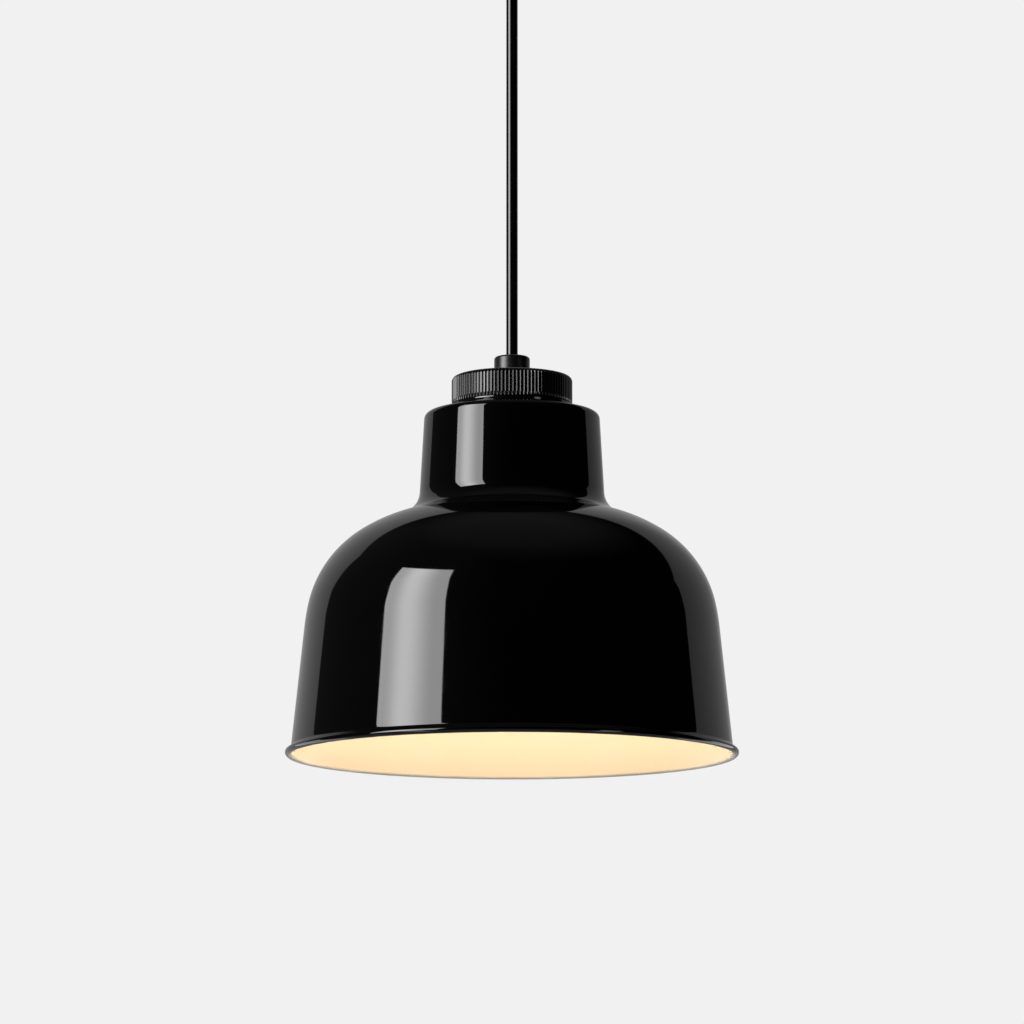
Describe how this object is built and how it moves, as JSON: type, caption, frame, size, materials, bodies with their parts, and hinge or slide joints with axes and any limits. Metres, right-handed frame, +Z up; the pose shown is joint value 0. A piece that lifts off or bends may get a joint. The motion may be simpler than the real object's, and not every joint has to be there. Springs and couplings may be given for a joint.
{
  "type": "pendant ceiling light",
  "caption": "Black bell-shaped metal pendant light on a round flex, with a ribbed fixing collar, screw lampholder, lamp and ceiling canopy.",
  "frame": {"origin": "centre of the face that lies against the ceiling, on the lamp's axis", "axes": "+Z up towards the ceiling, along the flex; +X along the line of the two fixing slots; +Y away from the viewer, with the cord grip's set screw on that side"},
  "size_m": [0.2706, 0.2706, 0.5248],
  "materials": {
    "shade_enamel": "gloss black enamel outside, warm white enamel inside",
    "gloss_black_enamel": "gloss black enamel",
    "satin_black": "satin black",
    "black_screw": "black oxide",
    "flex_sheath": "gloss black PVC sheath",
    "zinc_steel": "zinc plated",
    "brass": "turned brass",
    "cast_alloy": "turned alloy",
    "ivory_plastic": "moulded",
    "washer_nylon": "black nylon",
    "live_core": "brown insulation",
    "neutral_core": "blue insulation",
    "earth_core": "green and yellow insulation",
    "gasket_rubber": "matte",
    "holder_black": "moulded phenolic",
    "glazed_ceramic": "white glaze",
    "opal_glass": "opal",
    "clear_glass": "clear",
    "filament": "phosphor coated",
    "nickel": "nickel plated",
    "black_glass": "black glass insulator",
    "solder": "solder"
  },
  "bodies": {
    "ceiling": {"ceiling_bracket": "zinc_steel", "terminal_block": "ivory_plastic", "terminal_inserts": "brass", "terminal_screws": "zinc_steel", "block_screw": "zinc_steel", "earth_screw": "brass", "earth_tag": "brass", "canopy": "gloss_black_enamel", "canopy_screws": "black_screw", "canopy_gland": "satin_black", "gland_washer": "zinc_steel", "gland_locknut": "zinc_steel", "flex_stop": "ivory_plastic", "flex_stop_screw": "zinc_steel", "flex_tail": "flex_sheath", "upper_live_core": "live_core", "upper_neutral_core": "neutral_core", "upper_earth_core": "earth_core"},
    "flex_bend": {"flex_bend": "flex_sheath"},
    "pendant": {"flex": "flex_sheath", "cord_grip": "satin_black", "grip_screw": "zinc_steel", "nipple": "brass", "hub": "cast_alloy", "hub_nut": "brass", "shade_gasket": "gasket_rubber", "shade": "shade_enamel", "holder_cap": "holder_black", "holder_body": "holder_black", "holder_insert": "glazed_ceramic", "holder_terminals": "brass", "holder_terminal_screws": "zinc_steel", "screw_shell": "brass", "centre_contact": "brass", "holder_earth_block": "brass", "holder_earth_screw": "brass", "lower_live_core": "live_core", "lower_neutral_core": "neutral_core", "lower_earth_core": "earth_core"},
    "collar_washer": {"collar_washer": "washer_nylon"},
    "knurled_collar": {"knurled_collar": "satin_black"},
    "lamp_tip": {"lamp_contact": "solder", "lamp_insulator": "black_glass"},
    "lamp": {"lamp_globe": "opal_glass", "lamp_stem": "clear_glass", "lamp_filaments": "filament", "lamp_cap": "nickel"}
  },
  "joints": [
    {"name": "swing_side", "type": "hinge", "parent": "ceiling", "child": "flex_bend", "pos_m": [0, 0, -0.046], "axis": [0, 1, 0], "range_deg": [-15, 15]},
    {"name": "swing_front", "type": "hinge", "parent": "flex_bend", "child": "pendant", "pos_m": [0, 0, -0.046], "axis": [1, 0, 0], "range_deg": [-15, 15]},
    {"name": "collar_rise", "type": "slide", "parent": "pendant", "child": "collar_washer", "axis": [0, 0, 1], "range_m": [0, 0.012]},
    {"name": "collar_turn", "type": "hinge", "parent": "collar_washer", "child": "knurled_collar", "pos_m": [0, 0, -0.306], "axis": [0, 0, 1], "range_deg": [0, 1440]},
    {"name": "lamp_out", "type": "slide", "parent": "pendant", "child": "lamp_tip", "axis": [0, 0, -1], "range_m": [0, 0.0181]},
    {"name": "lamp_turn", "type": "hinge", "parent": "lamp_tip", "child": "lamp", "pos_m": [0, 0, -0.404], "axis": [0, 0, -1], "range_deg": [0, 1800]}
  ],
  "couplings": [
    {"joint": "collar_rise", "follows": "collar_turn", "m_per_rad": 0.00047746},
    {"joint": "lamp_out", "follows": "lamp_turn", "m_per_rad": 0.00057614}
  ]
}
